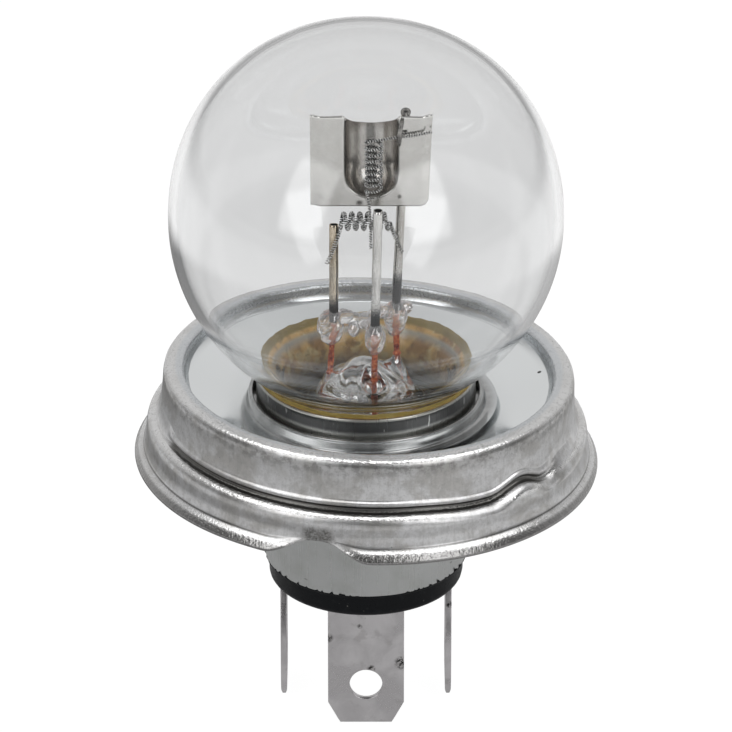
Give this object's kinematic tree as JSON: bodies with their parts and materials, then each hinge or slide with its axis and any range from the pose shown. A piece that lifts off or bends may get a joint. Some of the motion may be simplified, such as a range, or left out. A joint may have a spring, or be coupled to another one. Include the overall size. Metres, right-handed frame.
{
  "type": "headlight bulb",
  "caption": "Twin filament headlight bulb: round clear glass in a soldered prefocus ring, with a cup shield inside and flat blade terminals below an insulating disc.",
  "frame": {"origin": "on the prefocus ring's axis, in the plane of its seating ledge", "axes": "+Z along the ring's axis towards the glass; -Y towards the middle blade terminal"},
  "size_m": [0.045, 0.045, 0.0699],
  "materials": {
    "bulb_glass": "clear blown glass, thin and slightly uneven",
    "stem_glass": "clear pressed glass with wavy folds",
    "ring_steel": "satin drawn sheet steel with fine upright scratches, brighter in the dish",
    "cap_steel": "satin plated steel, darker where it turns inward",
    "solder": "dull solder",
    "cement": "tan basing cement, mottled and rough",
    "insulator": "black moulded resin, slightly glossy",
    "terminal_plate": "tinned sheet with light stains",
    "post_nickel": "nickel tube, sooty near the glass",
    "lead_copper": "red oxidised copper",
    "tungsten": "coiled grey wire",
    "shield_plate": "polished molybdenum sheet"
  },
  "bodies": {
    "root": {"glass_envelope": "bulb_glass", "stem": "stem_glass", "bead_bridge": "stem_glass", "prefocus_ring": "ring_steel", "collar_sleeve": "cap_steel", "cap_shell": "cap_steel", "ring_joint_1": "solder", "ring_joint_2": "solder", "ring_joint_3": "solder", "cement_ring": "cement", "insulator": "insulator", "terminal_left": "terminal_plate", "terminal_front": "terminal_plate", "terminal_right": "terminal_plate", "post_left": "post_nickel", "post_front": "post_nickel", "post_back": "post_nickel", "lead_left": "lead_copper", "lead_front": "lead_copper", "lead_right": "lead_copper", "passing_filament": "tungsten", "driving_filament": "tungsten", "shield": "shield_plate", "filament_clip": "shield_plate"}
  },
  "joints": []
}
